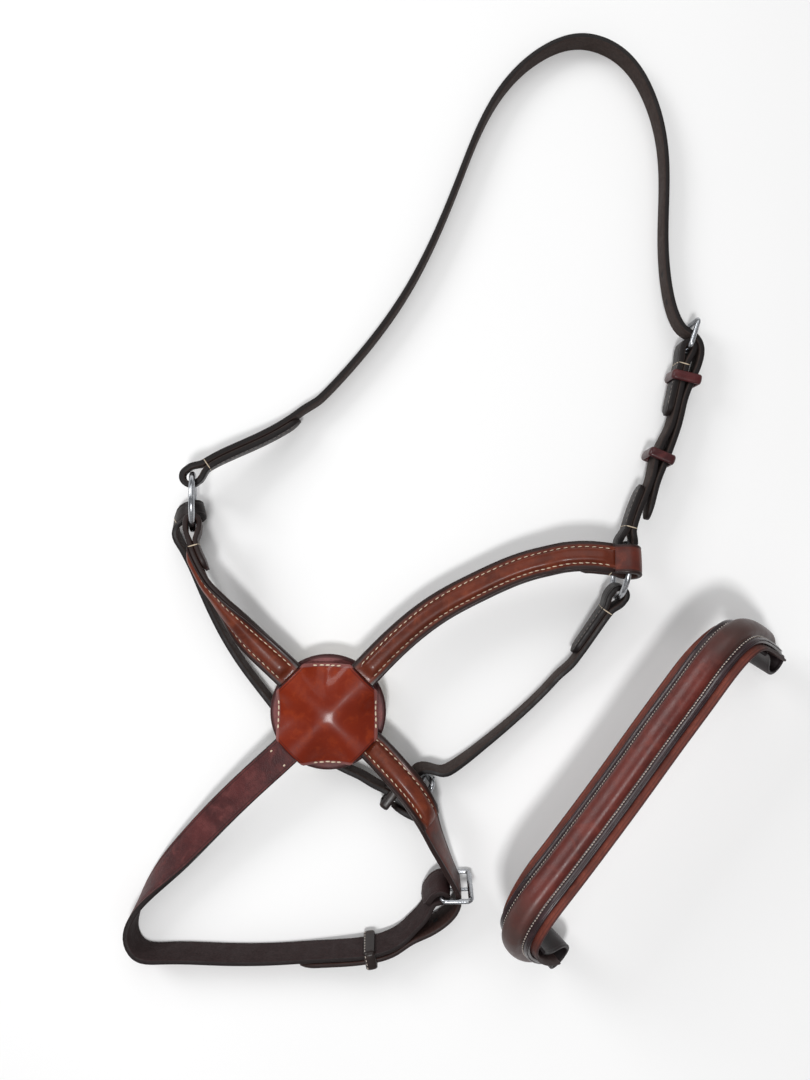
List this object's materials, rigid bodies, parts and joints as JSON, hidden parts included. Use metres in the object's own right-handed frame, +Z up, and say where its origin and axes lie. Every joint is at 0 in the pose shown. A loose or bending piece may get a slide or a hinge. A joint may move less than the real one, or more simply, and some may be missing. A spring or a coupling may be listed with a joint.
{
  "type": "crossed noseband with slip head and browband",
  "caption": "Figure-of-eight noseband with raised stitched nose straps, octagonal leather rosette, slip head, ring cheeks, buckled jaw and chin straps, and a matching padded browband.",
  "frame": {"origin": "centre of the footprint at floor level, laid out flat", "axes": "+Y from the chin towards the poll, +Z up from the floor the straps stand on, +X towards the buckle cheek"},
  "size_m": [0.4124, 0.5864, 0.0759],
  "materials": {
    "steel": "polished nickel-plated wire",
    "felt": "cream felt backing",
    "tan_leather": "glossy orange-brown bridle leather",
    "black_leather": "satin black-brown bridle leather",
    "lining_leather": "matte red-brown lining leather",
    "brown_leather": "satin dark red-brown bridle leather",
    "red_leather": "satin red-brown bridle leather, cream stitching",
    "wadding": "cord and wadding filler"
  },
  "bodies": {
    "straps": {"cheek_strap": "black_leather", "chin_buckle_frame": "steel", "chin_strap": "brown_leather", "headpiece_buckle_frame": "steel", "headpiece_fixed_keeper": "red_leather", "headpiece_strap": "black_leather", "jaw_buckle_frame": "steel", "jaw_keeper": "red_leather", "jaw_strap_left": "black_leather", "jaw_strap_right": "black_leather", "nose_strap_left": "red_leather", "nose_strap_left_cover": "red_leather", "nose_strap_left_filler": "wadding", "nose_strap_right": "red_leather", "nose_strap_right_cover": "red_leather", "nose_strap_right_filler": "wadding", "rosette_base": "tan_leather", "rosette_cover": "tan_leather", "rosette_pad": "felt"},
    "left_ring": {"left_ring": "steel"},
    "right_ring": {"right_ring": "steel"},
    "headpiece_tongue": {"headpiece_buckle_tongue": "steel"},
    "jaw_tongue": {"jaw_buckle_tongue": "steel"},
    "chin_tongue": {"chin_buckle_tongue": "steel"},
    "headpiece_runner": {"headpiece_runner_keeper": "red_leather"},
    "chin_runner": {"chin_keeper": "red_leather"},
    "browband": {"browband_filler": "wadding", "browband_lining": "lining_leather", "browband_loop_lower": "brown_leather", "browband_loop_upper": "brown_leather", "browband_roll": "brown_leather", "browband_strap": "brown_leather"}
  },
  "joints": [
    {"name": "left_ring_spin", "type": "hinge", "parent": "straps", "child": "left_ring", "pos_m": [-0.16104, -0.0026, 0.0236], "axis": [0.9781, 0, -0.2079], "continuous": true},
    {"name": "right_ring_spin", "type": "hinge", "parent": "straps", "child": "right_ring", "pos_m": [0.10416, -0.045, 0.02], "axis": [0.986, -0.1668, 0], "continuous": true},
    {"name": "headpiece_tongue_lift", "type": "hinge", "parent": "straps", "child": "headpiece_tongue", "pos_m": [0.14746, 0.0947, 0.0106], "axis": [0, 0, -1], "range_deg": [0, 10]},
    {"name": "jaw_tongue_lift", "type": "hinge", "parent": "straps", "child": "jaw_tongue", "pos_m": [-0.02244, -0.1921, 0.0103], "axis": [-0.231, 0.1167, -0.9659], "range_deg": [0, 10]},
    {"name": "chin_tongue_lift", "type": "hinge", "parent": "straps", "child": "chin_tongue", "pos_m": [-0.00754, -0.2438, 0.0132], "axis": [0, 0.4226, -0.9063], "range_deg": [0, 10]},
    {"name": "headpiece_runner_slide", "type": "slide", "parent": "straps", "child": "headpiece_runner", "axis": [-0.3697, -0.9278, 0.0488], "range_m": [-0.005, 0.002]},
    {"name": "chin_runner_slide", "type": "slide", "parent": "straps", "child": "chin_runner", "axis": [0.995, 0.0995, 0], "range_m": [-0.003, 0.0015]},
    {"name": "browband_lift", "type": "slide", "parent": "straps", "child": "browband", "axis": [0, 0, 1], "range_m": [0, 0.2]}
  ]
}
